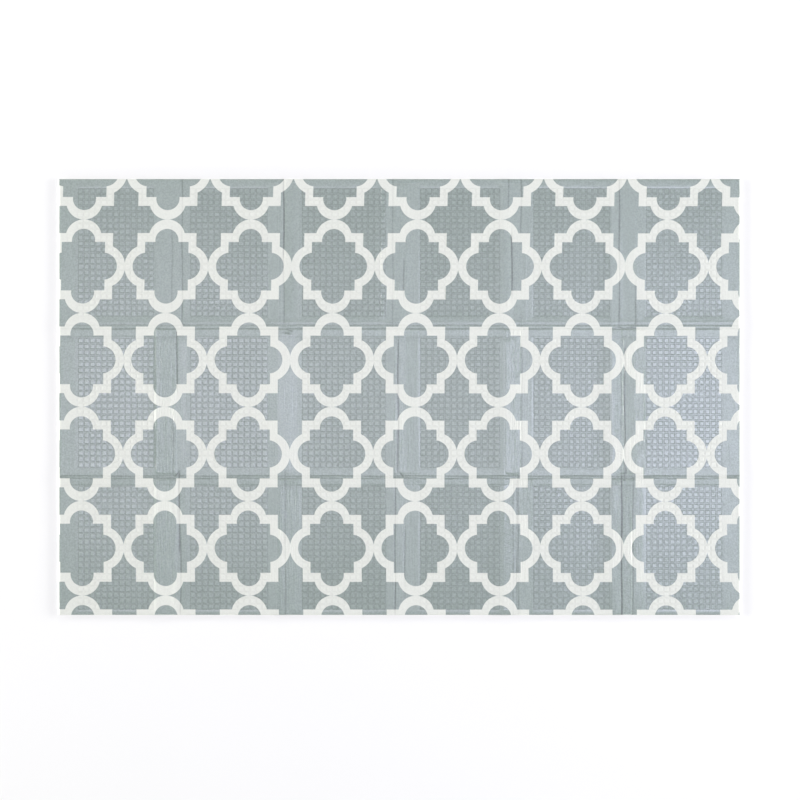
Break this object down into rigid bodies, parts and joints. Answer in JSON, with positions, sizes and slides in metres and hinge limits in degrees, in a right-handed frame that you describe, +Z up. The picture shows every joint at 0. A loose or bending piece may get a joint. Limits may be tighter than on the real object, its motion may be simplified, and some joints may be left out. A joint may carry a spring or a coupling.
{
  "type": "baby play mat",
  "caption": "Flat oblong folding foam play mat with a smooth-banded embossed film face printed with an off-white trellis on grey, lying opened out with its fold creases.",
  "frame": {"origin": "on the floor, under the middle of the mat", "axes": "+Z up out of the printed face, +X along the mat's length to the picture's right, +Y across it to the picture's top"},
  "size_m": [1.4, 0.8966, 0.0076],
  "materials": {
    "printed_film": "soft-gloss printed plastic film on foam, grey with an off-white trellis, pressed into small square cells except along the folds"
  },
  "bodies": {
    "root": {"foam_mat": "printed_film"}
  },
  "joints": []
}
